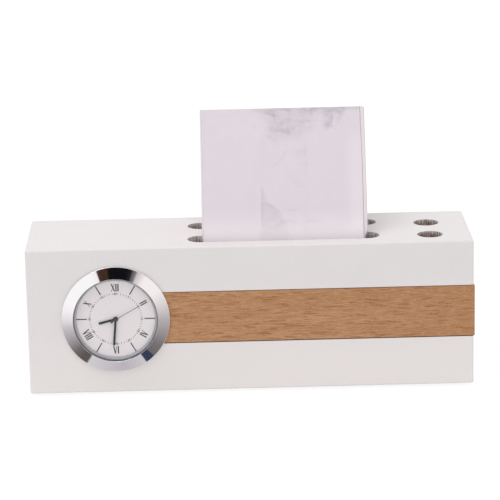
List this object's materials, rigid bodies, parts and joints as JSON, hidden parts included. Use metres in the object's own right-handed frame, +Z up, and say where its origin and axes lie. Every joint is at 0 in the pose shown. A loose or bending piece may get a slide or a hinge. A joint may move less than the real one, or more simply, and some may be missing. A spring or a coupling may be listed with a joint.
{
  "type": "table clock",
  "caption": "Wooden desk block with a round quartz clock insert, a wood inlay, pen holes and a note pad leaning in a pocket.",
  "frame": {"origin": "centre of the felt's underside, on the desk", "axes": "+X along the block towards the pen holes, +Y away from the dial's viewer, +Z up"},
  "size_m": [0.2105, 0.0628, 0.1305],
  "materials": {
    "white_paint": "satin white paint over wood",
    "beech": "clear matt lacquer",
    "felt": "napped",
    "paper": "white sheets",
    "grey_card": "uncoated",
    "chrome": "finely turned and polished",
    "lens_glass": "clear",
    "grey_plastic": "satin",
    "dial_white": "printed matt white",
    "black_plastic": "moulded satin",
    "black_rubber": "matt",
    "white_plastic": "moulded",
    "copper_wire": "enamelled copper winding",
    "steel": "bright",
    "magnet": "sintered magnet",
    "board_green": "solder resist",
    "brass": "bright",
    "hand_black": "painted black",
    "hand_brown": "painted grey-brown"
  },
  "bodies": {
    "block": {"body_block": "white_paint", "wood_strip": "beech", "felt_base": "felt"},
    "note_pad": {"note_sheets": "paper", "note_backing": "grey_card"},
    "clock_insert": {"bezel": "chrome", "lens": "lens_glass", "case_shell": "black_plastic", "dial_ring": "grey_plastic", "dial": "dial_white", "gasket": "black_rubber", "main_plate": "black_plastic", "train_bridge": "steel", "bridge_screw_1": "steel", "bridge_screw_2": "steel", "bridge_screw_3": "steel", "coil_core": "steel", "coil_bobbin": "white_plastic", "coil_winding": "copper_wire", "stator": "steel", "circuit_board": "board_green", "quartz_crystal": "steel", "clock_chip": "black_plastic", "battery": "steel", "contact_minus": "brass", "contact_plus": "brass"},
    "battery_hatch": {"battery_hatch": "black_plastic"},
    "minute": {"minute_hand": "hand_black", "centre_wheel": "brass"},
    "hour": {"hour_hand": "hand_black", "hour_wheel": "white_plastic"},
    "seconds": {"second_hand": "hand_brown", "seconds_wheel": "brass"},
    "minute_works": {"minute_wheel": "white_plastic", "set_knob": "black_plastic"},
    "third": {"third_wheel": "brass"},
    "intermediate": {"intermediate_wheel": "brass"},
    "rotor": {"rotor_pinion": "steel", "rotor_magnet": "magnet"}
  },
  "joints": [
    {"name": "insert_pull", "type": "slide", "parent": "block", "child": "clock_insert", "axis": [0, -1, 0], "range_m": [0, 0.025]},
    {"name": "pad_lift", "type": "slide", "parent": "block", "child": "note_pad", "axis": [0, 0.2672, 0.9636], "range_m": [0, 0.04]},
    {"name": "hatch_turn", "type": "hinge", "parent": "clock_insert", "child": "battery_hatch", "pos_m": [-0.0635, 0, 0.0493], "axis": [0, -1, 0], "range_deg": [0, 40]},
    {"name": "second_hand_turn", "type": "hinge", "parent": "clock_insert", "child": "seconds", "pos_m": [-0.0635, 0, 0.0376], "axis": [0, 1, 0], "continuous": true},
    {"name": "minute_hand_turn", "type": "hinge", "parent": "clock_insert", "child": "minute", "pos_m": [-0.0635, 0, 0.0376], "axis": [0, 1, 0], "continuous": true},
    {"name": "hour_hand_turn", "type": "hinge", "parent": "clock_insert", "child": "hour", "pos_m": [-0.0635, 0, 0.0376], "axis": [0, 1, 0], "continuous": true},
    {"name": "minute_works_turn", "type": "hinge", "parent": "clock_insert", "child": "minute_works", "pos_m": [-0.06589, 0, 0.03102], "axis": [0, 1, 0], "continuous": true},
    {"name": "third_wheel_turn", "type": "hinge", "parent": "clock_insert", "child": "third", "pos_m": [-0.06952, 0, 0.03654], "axis": [0, 1, 0], "continuous": true},
    {"name": "intermediate_wheel_turn", "type": "hinge", "parent": "clock_insert", "child": "intermediate", "pos_m": [-0.05744, 0, 0.03653], "axis": [0, 1, 0], "continuous": true},
    {"name": "rotor_turn", "type": "hinge", "parent": "clock_insert", "child": "rotor", "pos_m": [-0.05351, 0, 0.03378], "axis": [0, 1, 0], "continuous": true}
  ],
  "couplings": [
    {"joint": "minute_hand_turn", "follows": "second_hand_turn", "ratio": 0.016667},
    {"joint": "hour_hand_turn", "follows": "second_hand_turn", "ratio": 0.0013889},
    {"joint": "third_wheel_turn", "follows": "second_hand_turn", "ratio": -0.13333},
    {"joint": "minute_works_turn", "follows": "second_hand_turn", "ratio": -0.0055556},
    {"joint": "intermediate_wheel_turn", "follows": "second_hand_turn", "ratio": -6},
    {"joint": "rotor_turn", "follows": "second_hand_turn", "ratio": 30}
  ]
}
